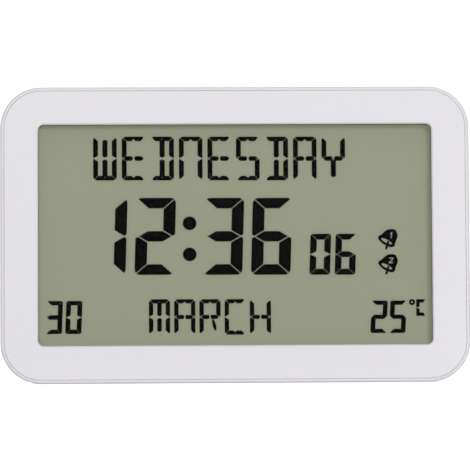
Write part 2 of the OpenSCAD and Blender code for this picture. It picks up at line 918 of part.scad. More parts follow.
module kickstand() {
    foot = stand_z - stand_l;
    top = stand_z + heel_l;
    color(case_white) difference() {
        union() {
            depth(stand_y0, stand_y0 + stand_t) {
                panel(-stand_w / 2, stand_w / 2, foot, stand_z, foot_round);
                panel(-stand_w / 2, stand_w / 2, stand_z - 12, top, 0.6);
            }
            across(-stand_w / 2 - pin_l + 0.1, stand_w / 2 + pin_l - 0.1)
                translate([pivot_y, stand_z]) circle(pin_r);
        }
        for (side = [-1, 1]) depth(stand_y0 - past, stand_y0 + stand_t / 2)
            translate([side * (stand_w / 4 - 0.6), foot + (stand_l - 6) / 2])
                rounded(stand_w / 2 - 4, stand_l - 12, 3);
        for (i = [0:2]) depth(stand_y0 + stand_t - grip_depth, back_y)
            translate([0, foot + 3 + 2 * i]) square([14, 0.9], true);
    }
}

// ---- Screws ----

// Pan-head screw pointing to the front, its head's underside at y
module screw(spot, y, r, head_r, head_h, length) {
    translate([spot[0], y, spot[1]]) rotate([90, 0, 0]) {
        cylinder(r = r, h = length);
        translate([0, 0, -head_h * 0.6]) cylinder(r = head_r, h = head_h * 0.6);
        translate([0, 0, -head_h])
            cylinder(r1 = head_r * 0.7, r2 = head_r, h = head_h * 0.4);
    }
}

module case_screw(i) {
    color(steel) screw(screw_spots[i], head_seat_y, screw_r, screw_head_r, screw_head_h,
        head_seat_y - split_y + screw_depth - screw_tip);
}

module board_screw(i) {
    color(steel) screw([holder_x[i], foot_z], board_back, small_r, small_head_r,
        small_head_h, board_back - plate_y - 2 * small_web);
}

module holder_screw(i) {
    color(steel) screw([holder_x[i], case_h - foot_z], board_y, small_r, small_head_r,
        small_head_h, board_y - plate_y - 2 * small_web);
}

module key_board_screw(i) {
    color(steel) translate([key_post_x[i], key_board_y, key_z]) rotate([180, 0, 0])
        screw([0, 0], 0, small_r, small_head_r, small_head_h, board_t + small_reach);
}

front_frame();
rear_cover();
display_lens();
lens_tape();
front_polariser();
front_glass();
rear_glass();
reflector();
lcd_holder();
contact_strip();
main_board();
driver_chip();
quartz_crystal();
reservoir_capacitor();
thermistor();
buzzer_disc();
buzzer_ceramic();
key_board();
battery_door();
battery_1();
battery_2();
spring_1();
spring_2();
contact_bridge();
contact_plus();
contact_minus();
kickstand();
for (i = [0:key_n - 1]) {
    switch_base(i);
    key(i);
    plunger(i);
}
for (i = [0:5]) {
    case_screw(i);
}
for (i = [0:2]) {
    board_screw(i);
    holder_screw(i);
}
for (i = [0:1]) {
    key_board_screw(i);
}
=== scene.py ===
import math

import bmesh
import bpy
from mathutils import Matrix, Vector


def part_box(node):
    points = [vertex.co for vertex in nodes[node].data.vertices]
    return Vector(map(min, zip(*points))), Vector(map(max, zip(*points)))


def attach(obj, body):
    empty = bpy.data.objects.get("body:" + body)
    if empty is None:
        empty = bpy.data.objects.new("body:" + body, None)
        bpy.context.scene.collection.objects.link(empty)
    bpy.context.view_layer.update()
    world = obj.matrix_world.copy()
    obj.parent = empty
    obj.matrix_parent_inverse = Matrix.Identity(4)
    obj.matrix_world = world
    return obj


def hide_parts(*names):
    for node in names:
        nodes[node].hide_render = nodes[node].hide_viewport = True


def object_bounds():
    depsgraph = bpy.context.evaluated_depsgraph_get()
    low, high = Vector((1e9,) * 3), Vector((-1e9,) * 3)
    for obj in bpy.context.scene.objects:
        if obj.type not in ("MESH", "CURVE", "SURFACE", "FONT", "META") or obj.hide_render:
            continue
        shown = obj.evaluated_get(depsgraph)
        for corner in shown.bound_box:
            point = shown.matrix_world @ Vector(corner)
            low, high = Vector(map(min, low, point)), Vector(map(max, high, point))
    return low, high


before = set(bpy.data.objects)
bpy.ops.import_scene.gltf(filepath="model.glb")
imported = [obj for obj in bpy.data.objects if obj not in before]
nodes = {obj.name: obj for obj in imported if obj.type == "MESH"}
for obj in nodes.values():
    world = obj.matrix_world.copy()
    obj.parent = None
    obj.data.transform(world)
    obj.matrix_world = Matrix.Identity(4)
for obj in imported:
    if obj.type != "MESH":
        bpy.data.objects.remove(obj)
cadBox = [list(corner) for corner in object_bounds()]
mm = 0.001
weld = 1e-7  # metres, vertices closer than this are one
print("frame loaded:", len(nodes), "nodes")


def numbered(stem, count):
    return ["%s%d" % (stem, i) for i in range(1, count + 1)]


def fromSrgb(r, g, b):
    def lin(v):
        v = v / 255
        return v / 12.92 if v <= 0.04045 else ((v + 0.055) / 1.055) ** 2.4
    return (lin(r), lin(g), lin(b), 1.0)


def addObject(name, mesh):
    obj = bpy.data.objects.new(name, mesh)
    bpy.context.scene.collection.objects.link(obj)
    return obj


def bakeMesh(obj):
    # turns the evaluated result into a plain mesh on the same object
    bpy.context.view_layer.update()
    graph = bpy.context.evaluated_depsgraph_get()
    mesh = bpy.data.meshes.new_from_object(obj.evaluated_get(graph), depsgraph=graph)
    obj.modifiers.clear()
    obj.data = mesh


def arc(start, end, steps):
    # angles in radians from start to end in degrees
    return [math.radians(start + (end - start) * k / steps) for k in range(steps + 1)]


def circle(x, z, r, sides=40):
    return [(x + r * math.cos(2 * math.pi * k / sides), z + r * math.sin(2 * math.pi * k / sides))
            for k in range(sides)]


def meshFrom(bm, name):
    # the finished bmesh as a new mesh, its faces turned outward
    bmesh.ops.recalc_face_normals(bm, faces=bm.faces)
    mesh = bpy.data.meshes.new(name)
    bm.to_mesh(mesh)
    bm.free()
    return mesh


def outwardFaces(mesh):
    # merges doubles first, so that the turning sees one closed shell
    bm = bmesh.new()
    bm.from_mesh(mesh)
    bmesh.ops.remove_doubles(bm, verts=bm.verts, dist=weld)
    bmesh.ops.recalc_face_normals(bm, faces=bm.faces)
    bm.to_mesh(mesh)
    bm.free()


def prismMesh(name, outline, yFront, yBack):
    # closed plate from one outline of (x, z) in millimetres
    bm = bmesh.new()
    front = [bm.verts.new((x * mm, yFront * mm, z * mm)) for x, z in outline]
    back = [bm.verts.new((x * mm, yBack * mm, z * mm)) for x, z in outline]
    bm.faces.new(front)
    bm.faces.new(back[::-1])
    for i in range(len(front)):
        j = (i + 1) % len(front)
        bm.faces.new((front[i], back[i], back[j], front[j]))
    return meshFrom(bm, name)


def plateWithHoles(name, loops, yFront, yBack):
    # flat shape with holes, given by closed loops of (x, z) in millimetres
    curve = bpy.data.curves.new(name, "CURVE")
    curve.dimensions = "2D"
    curve.fill_mode = "BOTH"
    curve.extrude = (yBack - yFront) / 2 * mm
    for loop in loops:
        spline = curve.splines.new("POLY")
        spline.points.add(len(loop) - 1)
        for point, (x, z) in zip(spline.points, loop):
            point.co = (x * mm, z * mm, 0, 1)
        spline.use_cyclic_u = True
    shape = addObject(name + "Shape", curve)
    bpy.context.view_layer.update()
    graph = bpy.context.evaluated_depsgraph_get()
    mesh = bpy.data.meshes.new_from_object(shape.evaluated_get(graph), depsgraph=graph)
    bpy.data.objects.remove(shape)
    mesh.transform(Matrix.Translation((0, (yFront + yBack) / 2 * mm, 0))
                   @ Matrix.Rotation(math.pi / 2, 4, "X"))
    outwardFaces(mesh)
    mesh.name = name
    return mesh


def joinMeshes(name, meshes):
    bm = bmesh.new()
    for mesh in meshes:
        bm.from_mesh(mesh)
    joined = bpy.data.meshes.new(name)
    bm.to_mesh(joined)
    bm.free()
    return joined


# what a finish has unless it says otherwise; grain, cloud and depth are in millimetres
usualLook = {"grain": 0.4, "cloud": 30.0, "clouding": 0.4, "spread": 0.03, "roughSpread": 0.04,
             "bump": 0.08, "depth": 0.02, "metal": 0.0, "ior": 1.5, "shine": 0.5}


def grainGroup():
    # fine grain and slow clouding on the object's own coordinates, sizes in millimetres
    tree = bpy.data.node_groups.new("mouldedGrain", "ShaderNodeTree")
    for name, key in (("Grain Size", "grain"), ("Cloud Size", "cloud")):
        socket = tree.interface.new_socket(name, in_out="INPUT", socket_type="NodeSocketFloat")
        socket.default_value = usualLook[key]
    for name in ("Grain", "Cloud"):
        tree.interface.new_socket(name, in_out="OUTPUT", socket_type="NodeSocketFloat")
    add, link = tree.nodes.new, tree.links.new
    inside, out, place = add("NodeGroupInput"), add("NodeGroupOutput"), add("ShaderNodeTexCoord")
    for label, detail in (("Grain", 2.0), ("Cloud", 1.0)):
        perMetre = add("ShaderNodeMath")
        perMetre.operation = "DIVIDE"
        perMetre.inputs[0].default_value = 1 / mm
        link(inside.outputs[label + " Size"], perMetre.inputs[1])
        noise = add("ShaderNodeTexNoise")
        noise.inputs["Detail"].default_value = detail
        link(place.outputs["Object"], noise.inputs["Vector"])
        link(perMetre.outputs[0], noise.inputs["Scale"])
        link(noise.outputs["Fac"], out.inputs[label])
    return tree


grain = grainGroup()


def newMaterial(name, look):
    # a material with its grain node, sized as the look says
    mat = bpy.data.materials.new(name)
    mat.use_nodes = True
    tree = mat.node_tree
    texture = tree.nodes.new("ShaderNodeGroup")
    texture.node_tree = grain
    texture.inputs["Grain Size"].default_value = look["grain"]
    texture.inputs["Cloud Size"].default_value = look["cloud"]
    return mat, tree, tree.nodes["Principled BSDF"], texture


def grainedRoughness(tree, texture, shader, low, high):
    rough = tree.nodes.new("ShaderNodeMapRange")
    rough.inputs["To Min"].default_value = low
    rough.inputs["To Max"].default_value = high
    tree.links.new(texture.outputs["Grain"], rough.inputs["Value"])
    tree.links.new(rough.outputs["Result"], shader.inputs["Roughness"])


def grainedSurface(tree, texture, shader, look):
    bump = tree.nodes.new("ShaderNodeBump")
    bump.inputs["Strength"].default_value = look["bump"]
    bump.inputs["Distance"].default_value = look["depth"] * mm
    tree.links.new(texture.outputs["Grain"], bump.inputs["Height"])
    tree.links.new(bump.outputs["Normal"], shader.inputs["Normal"])


def makeFinish(name, ownLook):
    look = {**usualLook, **ownLook}
    mat, tree, shader, texture = newMaterial(name, look)
    add, link = tree.nodes.new, tree.links.new
    tint = add("ShaderNodeMix")
    tint.data_type = "RGBA"
    colour, spread = look["colour"], look["spread"]
    tint.inputs["A"].default_value = [c * (1 - spread) for c in colour[:3]] + [1]
    tint.inputs["B"].default_value = [min(1, c * (1 + spread)) for c in colour[:3]] + [1]
    blend = add("ShaderNodeMix")
    blend.inputs["Factor"].default_value = look["clouding"]
    link(texture.outputs["Grain"], blend.inputs["A"])
    link(texture.outputs["Cloud"], blend.inputs["B"])
    link(blend.outputs["Result"], tint.inputs["Factor"])
    link(tint.outputs["Result"], shader.inputs["Base Color"])
    grainedRoughness(tree, texture, shader,
                     look["rough"] - look["roughSpread"], look["rough"] + look["roughSpread"])
    grainedSurface(tree, texture, shader, look)
    shader.inputs["Metallic"].default_value = look["metal"]
    shader.inputs["IOR"].default_value = look["ior"]
    shader.inputs["Specular IOR Level"].default_value = look["shine"]
    return mat


finishes = {
    "case_plastic": {"colour": fromSrgb(240, 238, 242), "rough": 0.72, "grain": 0.35,
                     "cloud": 60, "spread": 0.012, "bump": 0.1, "shine": 0.2},
    "key_plastic": {"colour": fromSrgb(214, 214, 218), "rough": 0.5, "grain": 0.3,
                    "spread": 0.02, "bump": 0.1},
    "tape": {"colour": fromSrgb(52, 52, 54), "rough": 0.8, "grain": 0.15, "spread": 0.1},
    "reflector": {"colour": fromSrgb(180, 182, 157), "rough": 0.9, "grain": 0.55, "cloud": 70,
                  "spread": 0.045, "clouding": 0.3, "bump": 0.0, "shine": 0.0},
    "holder_plastic": {"colour": fromSrgb(226, 226, 222), "rough": 0.6, "grain": 0.5},
    "contact_rubber": {"colour": fromSrgb(224, 160, 168), "rough": 0.85, "grain": 0.12,
                       "spread": 0.15},
    "black_plastic": {"colour": fromSrgb(38, 38, 41), "rough": 0.5, "grain": 0.2, "spread": 0.1},
    "can_steel": {"colour": fromSrgb(205, 205, 206), "rough": 0.3, "metal": 1.0, "grain": 0.25,
                  "spread": 0.05},
    "screw_steel": {"colour": fromSrgb(190, 190, 194), "rough": 0.32, "metal": 1.0,
                    "grain": 0.2, "spread": 0.06},
    "capacitor_sleeve": {"colour": fromSrgb(48, 50, 122), "rough": 0.35, "grain": 0.6},
    "thermistor_bead": {"colour": fromSrgb(72, 150, 108), "rough": 0.35, "grain": 0.4,
                        "spread": 0.08},
    "buzzer_brass": {"colour": fromSrgb(206, 178, 98), "rough": 0.35, "metal": 1.0,
                     "grain": 0.3, "spread": 0.06},
    "buzzer_ceramic": {"colour": fromSrgb(232, 229, 220), "rough": 0.6, "grain": 0.2,
                       "spread": 0.05},
    "plunger_plastic": {"colour": fromSrgb(222, 220, 210), "rough": 0.5, "grain": 0.3},
}
materials = {name: makeFinish(name, look) for name, look in finishes.items()}


def makeBoardFinish(look):
    # lacquered board with rows of copper tracks under the lacquer
    mat = makeFinish("board", look)
    add, link = mat.node_tree.nodes.new, mat.node_tree.links.new
    shader = mat.node_tree.nodes["Principled BSDF"]
    base = shader.inputs["Base Color"].links[0].from_socket
    place = add("ShaderNodeTexCoord")
    tracks = add("ShaderNodeTexBrick")
    tracks.inputs["Scale"].default_value = 1 / (look["trackPitch"] * mm)
    tracks.inputs["Mortar Size"].default_value = look["trackWidth"]
    tracks.inputs["Brick Width"].default_value = look["trackLength"]
    tracks.inputs["Row Height"].default_value = look["trackRow"]
    turned = add("ShaderNodeMapping")
    turned.inputs["Rotation"].default_value = (math.pi / 2, 0, 0)
    link(place.outputs["Object"], turned.inputs["Vector"])
    link(turned.outputs["Vector"], tracks.inputs["Vector"])
    mix = add("ShaderNodeMix")
    mix.data_type = "RGBA"
    mix.inputs["B"].default_value = look["track"]
    link(tracks.outputs["Fac"], mix.inputs["Factor"])
    link(base, mix.inputs["A"])
    link(mix.outputs["Result"], shader.inputs["Base Color"])
    return mat


# track width, length and row are in parts of the pitch
materials["board"] = makeBoardFinish({
    "colour": fromSrgb(34, 98, 60), "track": fromSrgb(56, 132, 84), "trackPitch": 2.0,
    "trackWidth": 0.07, "trackLength": 6.0, "trackRow": 0.5, "rough": 0.35, "grain": 0.8,
    "spread": 0.05})


def makeClearFinish(name, ownLook):
    # lens that light and sight pass almost unchanged
    look = {**usualLook, **ownLook}
    mat, tree, shader, texture = newMaterial(name, look)
    grainedRoughness(tree, texture, shader, look["rough"], look["rough"] + look["roughSpread"])
    shader.inputs["Base Color"].default_value = look["colour"]
    shader.inputs["Alpha"].default_value = look["alpha"]
    shader.inputs["IOR"].default_value = look["ior"]
    return mat


materials["lens"] = makeClearFinish("lens", {
    "colour": (0.015, 0.015, 0.017, 1), "rough": 0.04, "roughSpread": 0.03, "alpha": 0.05,
    "grain": 4.0, "ior": 1.49})


def makePaneFinish(name, ownLook):
    # laminated display glass, through which the lamps reach the reflector
    look = {**usualLook, **ownLook}
    mat, tree, shader, texture = newMaterial(name, look)
    add, link = tree.nodes.new, tree.links.new
    shader.inputs["Base Color"].default_value = look["colour"]
    shader.inputs["Roughness"].default_value = 0.0
    shader.inputs["IOR"].default_value = look["ior"]
    shader.inputs["Transmission Weight"].default_value = 1.0
    path, clear = add("ShaderNodeLightPath"), add("ShaderNodeBsdfTransparent")
    mix = add("ShaderNodeMixShader")
    clear.inputs["Color"].default_value = look["colour"]
    grainedSurface(tree, texture, shader, look)
    link(path.outputs["Is Camera Ray"], mix.inputs["Fac"])
    link(clear.outputs["BSDF"], mix.inputs[1])
    link(shader.outputs["BSDF"], mix.inputs[2])
    link(mix.outputs["Shader"], tree.nodes["Material Output"].inputs["Surface"])
    return mat


materials["display_glass"] = makePaneFinish("display_glass", {
    "colour": (0.985, 0.99, 0.985, 1), "ior": 1.06, "grain": 3.0, "bump": 0.02, "depth": 0.002})
materials["ink"] = makeFinish("ink", {
    "colour": fromSrgb(6, 4, 5), "rough": 0.95, "grain": 0.8, "spread": 0.12,
    "bump": 0.0, "shine": 0.0})


# plain printed film, a band at the plus end, and steel at both ends, in parts of the cell's length
cellJacket = {"colour": fromSrgb(44, 48, 54), "band": fromSrgb(176, 132, 70),
              "steel": fromSrgb(205, 205, 206), "rough": 0.3, "grain": 0.6, "cloud": 18,
              "spread": 0.06, "minusEnd": 0.012, "bandStart": 0.72, "plusEnd": 0.966}


def makeCellJacket(name, minusX, plusX, look):
    mat = makeFinish(name, look)
    add, link = mat.node_tree.nodes.new, mat.node_tree.links.new
    shader = mat.node_tree.nodes["Principled BSDF"]
    place, split = add("ShaderNodeTexCoord"), add("ShaderNodeSeparateXYZ")
    along = add("ShaderNodeMapRange")
    along.inputs["From Min"].default_value = minusX
    along.inputs["From Max"].default_value = plusX
    link(place.outputs["Object"], split.inputs["Vector"])
    link(split.outputs["X"], along.inputs["Value"])

    def stretches(stops):
        # white or black along the cell, from each stop to the next
        ramp = add("ShaderNodeValToRGB")
        ramp.color_ramp.interpolation = "CONSTANT"
        elements = ramp.color_ramp.elements
        for i, (start, grey) in enumerate(stops):
            element = elements[i] if i < 2 else elements.new(start)
            element.position, element.color = start, (grey, grey, grey, 1)
        link(along.outputs["Result"], ramp.inputs["Fac"])
        return ramp.outputs["Color"]

    def painted(under, where, colour):
        coat = add("ShaderNodeMix")
        coat.data_type = "RGBA"
        coat.inputs["B"].default_value = colour
        link(where, coat.inputs["Factor"])
        link(under, coat.inputs["A"])
        return coat.outputs["Result"]
    film = shader.inputs["Base Color"].links[0].from_socket
    banded = painted(film, stretches([(0, 0), (look["bandStart"], 1)]), look["band"])
    ends = stretches([(0, 1), (look["minusEnd"], 0), (look["plusEnd"], 1)])
    link(painted(banded, ends, look["steel"]), shader.inputs["Base Color"])
    link(ends, shader.inputs["Metallic"])
    return mat


print("finishes made:", len(materials))

nodeFinish = {
    "case_plastic": ["front_frame", "rear_cover", "battery_door", "kickstand"],
    "key_plastic": numbered("key_", 6),
    "lens": ["display_lens"],
    "tape": ["lens_tape"],
    "reflector": ["reflector"],
    "holder_plastic": ["lcd_holder"],
    "contact_rubber": ["contact_strip"],
    "board": ["main_board", "key_board"],
    "black_plastic": ["driver_chip"] + numbered("switch_", 6),
    "can_steel": ["quartz_crystal", "contact_bridge", "contact_plus", "contact_minus"],
    "screw_steel": (numbered("board_screw_", 3) + numbered("holder_screw_", 3)
                    + numbered("key_board_screw_", 2)),
    "capacitor_sleeve": ["reservoir_capacitor"],
    "thermistor_bead": ["thermistor"],
    "buzzer_brass": ["buzzer_disc"],
    "buzzer_ceramic": ["buzzer_ceramic"],
    "plunger_plastic": numbered("plunger_", 6),
}


def dressNode(name, mat):
    slots = nodes[name].material_slots
    for slot in slots:
        slot.material = mat
    if not slots:
        nodes[name].data.materials.append(mat)


for finishName, members in nodeFinish.items():
    for member in members:
        dressNode(member, materials[finishName])
for cellName, plusRight in (("battery_1", True), ("battery_2", False)):
    low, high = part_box(cellName)
    minusX, plusX = (low.x, high.x) if plusRight else (high.x, low.x)
    dressNode(cellName, makeCellJacket(cellName + "Jacket", minusX, plusX, cellJacket))
print("nodes dressed")


def newTree(name, inputs):
    # a geometry tree with its named inputs, and the identifiers that a modifier needs
    tree = bpy.data.node_groups.new(name, "GeometryNodeTree")
    tree.interface.new_socket("Geometry", in_out="INPUT", socket_type="NodeSocketGeometry")
    ids = {}
    for label, kind in inputs:
        ids[label] = tree.interface.new_socket(label, in_out="INPUT", socket_type=kind).identifier
    tree.interface.new_socket("Geometry", in_out="OUTPUT", socket_type="NodeSocketGeometry")
    return tree, ids


def placedCopies():
    # puts one of the collection's parts at each point, chosen by the point's own number
    tree, ids = newTree("placedCopies", (("Parts", "NodeSocketCollection"),
                                         ("Finish", "NodeSocketMaterial")))
    add, link = tree.nodes.new, tree.links.new
    inside, out = add("NodeGroupInput"), add("NodeGroupOutput")
    parts, which = add("GeometryNodeCollectionInfo"), add("GeometryNodeInputNamedAttribute")
    spots = add("GeometryNodeInstanceOnPoints")
    whole, paint = add("GeometryNodeRealizeInstances"), add("GeometryNodeSetMaterial")
    parts.inputs["Separate Children"].default_value = True
    parts.inputs["Reset Children"].default_value = True
    which.data_type = "INT"
    which.inputs["Name"].default_value = "part"
    spots.inputs["Pick Instance"].default_value = True
    link(inside.outputs["Parts"], parts.inputs["Collection"])
    link(inside.outputs["Geometry"], spots.inputs["Points"])
    link(parts.outputs["Instances"], spots.inputs["Instance"])
    link(which.outputs["Attribute"], spots.inputs["Instance Index"])
    link(spots.outputs["Instances"], whole.inputs["Geometry"])
    link(whole.outputs["Geometry"], paint.inputs["Geometry"])
    link(inside.outputs["Finish"], paint.inputs["Material"])
    link(paint.outputs["Geometry"], out.inputs["Geometry"])
    return tree, ids


copiesTree, copiesIds = placedCopies()


def copiesAt(name, partMeshes, spots, mat):
    # spots are (x, y, z in metres, which part)
    group = bpy.data.collections.new(name + "Parts")
    made = []
    for i, mesh in enumerate(partMeshes):
        part = bpy.data.objects.new("%sPart%02d" % (name, i), mesh)
        group.objects.link(part)
        made.append(part)
    points = bpy.data.meshes.new(name)
    points.from_pydata([s[:3] for s in spots], [], [])
    number = points.attributes.new("part", "INT", "POINT")
    number.data.foreach_set("value", [s[3] for s in spots])
    obj = addObject(name, points)
    modifier = obj.modifiers.new("copies", "NODES")
    modifier.node_group = copiesTree
    modifier[copiesIds["Parts"]] = group
    modifier[copiesIds["Finish"]] = mat
    bakeMesh(obj)
    for part in made:
        bpy.data.objects.remove(part)
    bpy.data.collections.remove(group)
    return obj


# conical springs at the cells' minus ends, sizes in millimetres
batterySpring = {"turns": 3.5, "seatRadius": 3.6, "tipRadius": 2.4, "wire": 0.3,
                 "stepsPerTurn": 28, "wireSides": 12}


def springTree():
    # wire spring along its own Z, turned and moved to its seat
    tree, ids = newTree("conicalSpring", (
        ("Turns", "NodeSocketFloat"), ("Seat Radius", "NodeSocketFloat"),
        ("Tip Radius", "NodeSocketFloat"), ("Length", "NodeSocketFloat"),
        ("Wire Radius", "NodeSocketFloat"), ("Seat", "NodeSocketVector"),
        ("Turn", "NodeSocketVector"), ("Finish", "NodeSocketMaterial")))
    add, link = tree.nodes.new, tree.links.new
    inside, out = add("NodeGroupInput"), add("NodeGroupOutput")
    coil, wire = add("GeometryNodeCurveSpiral"), add("GeometryNodeCurvePrimitiveCircle")
    swept = add("GeometryNodeCurveToMesh")
    coil.inputs["Resolution"].default_value = batterySpring["stepsPerTurn"]
    wire.inputs["Resolution"].default_value = batterySpring["wireSides"]
    place, whole = add("GeometryNodeTransform"), add("GeometryNodeRealizeInstances")
    smooth, paint = add("GeometryNodeSetShadeSmooth"), add("GeometryNodeSetMaterial")
    link(inside.outputs["Turns"], coil.inputs["Rotations"])
    link(inside.outputs["Seat Radius"], coil.inputs["Start Radius"])
    link(inside.outputs["Tip Radius"], coil.inputs["End Radius"])
    link(inside.outputs["Length"], coil.inputs["Height"])
    link(inside.outputs["Wire Radius"], wire.inputs["Radius"])
    link(coil.outputs["Curve"], swept.inputs["Curve"])
    link(wire.outputs["Curve"], swept.inputs["Profile Curve"])
    swept.inputs["Fill Caps"].default_value = True
    link(swept.outputs["Mesh"], place.inputs["Geometry"])
    link(inside.outputs["Seat"], place.inputs["Translation"])
    link(inside.outputs["Turn"], place.inputs["Rotation"])
    link(place.outputs["Geometry"], smooth.inputs["Geometry"])
    link(smooth.outputs["Geometry"], whole.inputs["Geometry"])
    link(whole.outputs["Geometry"], paint.inputs["Geometry"])
    link(inside.outputs["Finish"], paint.inputs["Material"])
    link(paint.outputs["Geometry"], out.inputs["Geometry"])
    return tree, ids


coilTree, coilIds = springTree()
for number, direction in (("1", 1), ("2", -1)):
    low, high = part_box("spring_" + number)
    cellLow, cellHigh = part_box("battery_" + number)
    centre = (cellLow + cellHigh) / 2
    wire = batterySpring["wire"] * mm
    seatX = low.x + wire if direction > 0 else high.x - wire
    obj = addObject("batterySpring" + number, bpy.data.meshes.new("springSeed"))
    modifier = obj.modifiers.new("coil", "NODES")
    modifier.node_group = coilTree
    for label, value in (("Turns", batterySpring["turns"]),
                         ("Seat Radius", batterySpring["seatRadius"] * mm),
                         ("Tip Radius", batterySpring["tipRadius"] * mm),
                         ("Length", high.x - low.x - 2 * wire), ("Wire Radius", wire),
                         ("Seat", (seatX, centre.y, centre.z)),
                         ("Turn", (0, direction * math.pi / 2, 0)),
                         ("Finish", materials["can_steel"])):
        modifier[coilIds[label]] = value
    bakeMesh(obj)
    outwardFaces(obj.data)
    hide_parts("spring_" + number)
    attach(obj, "case")
print("springs wound")


# case screws: threaded shank and pan head with a cross recess; radii and heights in millimetres,
# rim is the share of the head's height at its outer edge
caseScrew = {"shank": 1.45, "head": 2.8, "headHeight": 2.0, "rim": 0.35, "length": 12.0,
             "tip": 1.6, "point": (0.5, 0.35), "threadStep": 0.28, "threadDepth": 0.22,
             "plain": 1.2, "sides": 32, "slot": 0.75, "slotReach": 1.7, "slotDepth": 1.2}


def screwProfile(s):
    # (radius, height) from the point up to the middle of the head, 0 under the head
    end = -s["length"]
    pointRadius, pointRise = s["point"]
    profile = [(0, end), (pointRadius, end + pointRise), (s["shank"], end + s["tip"])]
    turn, y = 0, end + s["tip"]
    while y < -s["plain"]:  # shallow thread ridges up to the plain neck
        y += s["threadStep"]
        turn += 1
        profile.append((s["shank"] - (s["threadDepth"] if turn % 2 else 0.0), y))
    crown = [(s["head"] * math.cos(a), s["headHeight"] * (s["rim"] + (1 - s["rim"]) * math.sin(a)))
             for a in arc(0, 75, 5)]
    return profile + [(s["shank"], 0), (s["head"], 0)] + crown + [(0, s["headHeight"])]


def screwMesh(s):
    bm = bmesh.new()
    rings = []
    sides = s["sides"]
    for r, y in screwProfile(s):
        if r == 0:
            rings.append([bm.verts.new((0, y * mm, 0))])
        else:
            rings.append([bm.verts.new((x * mm, y * mm, z * mm))
                          for x, z in circle(0, 0, r, sides)])
    for a, b in zip(rings, rings[1:]):
        for k in range(sides):
            n = (k + 1) % sides
            if len(a) == 1:
                bm.faces.new((a[0], b[k], b[n]))
            elif len(b) == 1:
                bm.faces.new((a[k], b[0], a[n]))
            else:
                bm.faces.new((a[k], b[k], b[n], a[n]))
    bmesh.ops.remove_doubles(bm, verts=bm.verts, dist=weld)
    blank = addObject("caseScrewBlank", meshFrom(bm, "caseScrewBlank"))
    reach, half = s["slotReach"], s["slot"] / 2
    cross = [(-reach, -half), (-half, -half), (-half, -reach), (half, -reach), (half, -half),
             (reach, -half), (reach, half), (half, half), (half, reach), (-half, reach),
             (-half, half), (-reach, half)]
    cutter = addObject("crossCutter", prismMesh("crossCutter", cross,
                                                s["headHeight"] - s["slotDepth"],
                                                s["headHeight"] + s["slotDepth"]))
    cut = blank.modifiers.new("cross", "BOOLEAN")
    cut.operation, cut.solver, cut.object = "DIFFERENCE", "EXACT", cutter
    bakeMesh(blank)
    mesh = blank.data
    bpy.data.objects.remove(blank)
    bpy.data.objects.remove(cutter)
    return mesh


spots = []
for name in numbered("case_screw_", 6):
    low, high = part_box(name)
    spots.append(((low.x + high.x) / 2, high.y - caseScrew["headHeight"] * mm,
                  (low.z + high.z) / 2, 0))
screws = copiesAt("caseScrews", [screwMesh(caseScrew)], spots, materials["screw_steel"])
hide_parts(*numbered("case_screw_", 6))
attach(screws, "case")
print("screws cut")


# display glass: film and two glasses laminated into one clear block, just clear of the reflector
displayPane = {"gap": 0.02, "chamfer": 0.25}
filmLow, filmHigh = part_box("front_polariser")
frontLow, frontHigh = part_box("front_glass")
rearLow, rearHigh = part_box("rear_glass")


def paneMesh(p):
    # stepped slab: film, then the front glass with its ledge, then the rear glass
    gap, chamfer = p["gap"] * mm, p["chamfer"] * mm
    bm = bmesh.new()

    def ring(low, high, y, inset=0.0):
        x0, x1, z0, z1 = low.x + inset, high.x - inset, low.z + inset, high.z - inset
        return [bm.verts.new(v) for v in ((x0, y, z0), (x1, y, z0), (x1, y, z1), (x0, y, z1))]
    steps = [ring(filmLow, filmHigh, filmLow.y),
             ring(filmLow, filmHigh, filmHigh.y),
             ring(frontLow, frontHigh, frontLow.y, chamfer),
             ring(frontLow, frontHigh, frontLow.y + chamfer),
             ring(frontLow, frontHigh, frontHigh.y),
             ring(rearLow, rearHigh, rearLow.y),
             ring(rearLow, rearHigh, rearHigh.y - chamfer - gap),
             ring(rearLow, rearHigh, rearHigh.y - gap, chamfer)]
    bm.faces.new(steps[0])
    bm.faces.new(steps[-1])
    for a, b in zip(steps, steps[1:]):
        for k in range(4):
            n = (k + 1) % 4
            bm.faces.new((a[k], a[n], b[n], b[k]))
    bmesh.ops.remove_doubles(bm, verts=bm.verts, dist=weld)
    bmesh.ops.dissolve_degenerate(bm, edges=bm.edges, dist=weld)
    return meshFrom(bm, "displayPane")


pane = addObject("displayPane", paneMesh(displayPane))
pane.data.materials.append(materials["display_glass"])
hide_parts("front_polariser", "front_glass", "rear_glass")
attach(pane, "case")
print("display glass laid")


# liquid-crystal characters, a thin layer where the two glasses meet
inkHalf = 0.015  # half its thickness in millimetres
liquid = {"front": frontHigh.y / mm - inkHalf, "back": frontHigh.y / mm + inkHalf}


def clipped(points, a, b):
    # keeps the part of a convex outline that lies left of the line from a to b
    def side(p):
        return (b[0] - a[0]) * (p[1] - a[1]) - (b[1] - a[1]) * (p[0] - a[0])
    kept = []
    for i, p in enumerate(points):
        q = points[(i + 1) % len(points)]
        sp, sq = side(p), side(q)
        if sp >= 0:
            kept.append(p)
        if sp * sq < 0:
            t = sp / (sp - sq)
            kept.append((p[0] + t * (q[0] - p[0]), p[1] + t * (q[1] - p[1])))
    return kept


def roundCell(w, h, r):
    # outline of a whole character: from 0 to w across, from 0 down to -h
    points = []
    for cx, cz, start in ((w - r, -h + r, -90), (w - r, -r, 0), (r, -r, 90), (r, -h + r, 180)):
        for a in arc(start, start + 90, 6):
            points.append((cx + r * math.cos(a), cz + r * math.sin(a)))
    return points


def shifted(a, b, by):
    # the line from a to b moved to its left
    dx, dz = b[0] - a[0], b[1] - a[1]
    n = math.hypot(dx, dz)
    return (a[0] - dz / n * by, a[1] + dx / n * by), (b[0] - dz / n * by, b[1] + dx / n * by)


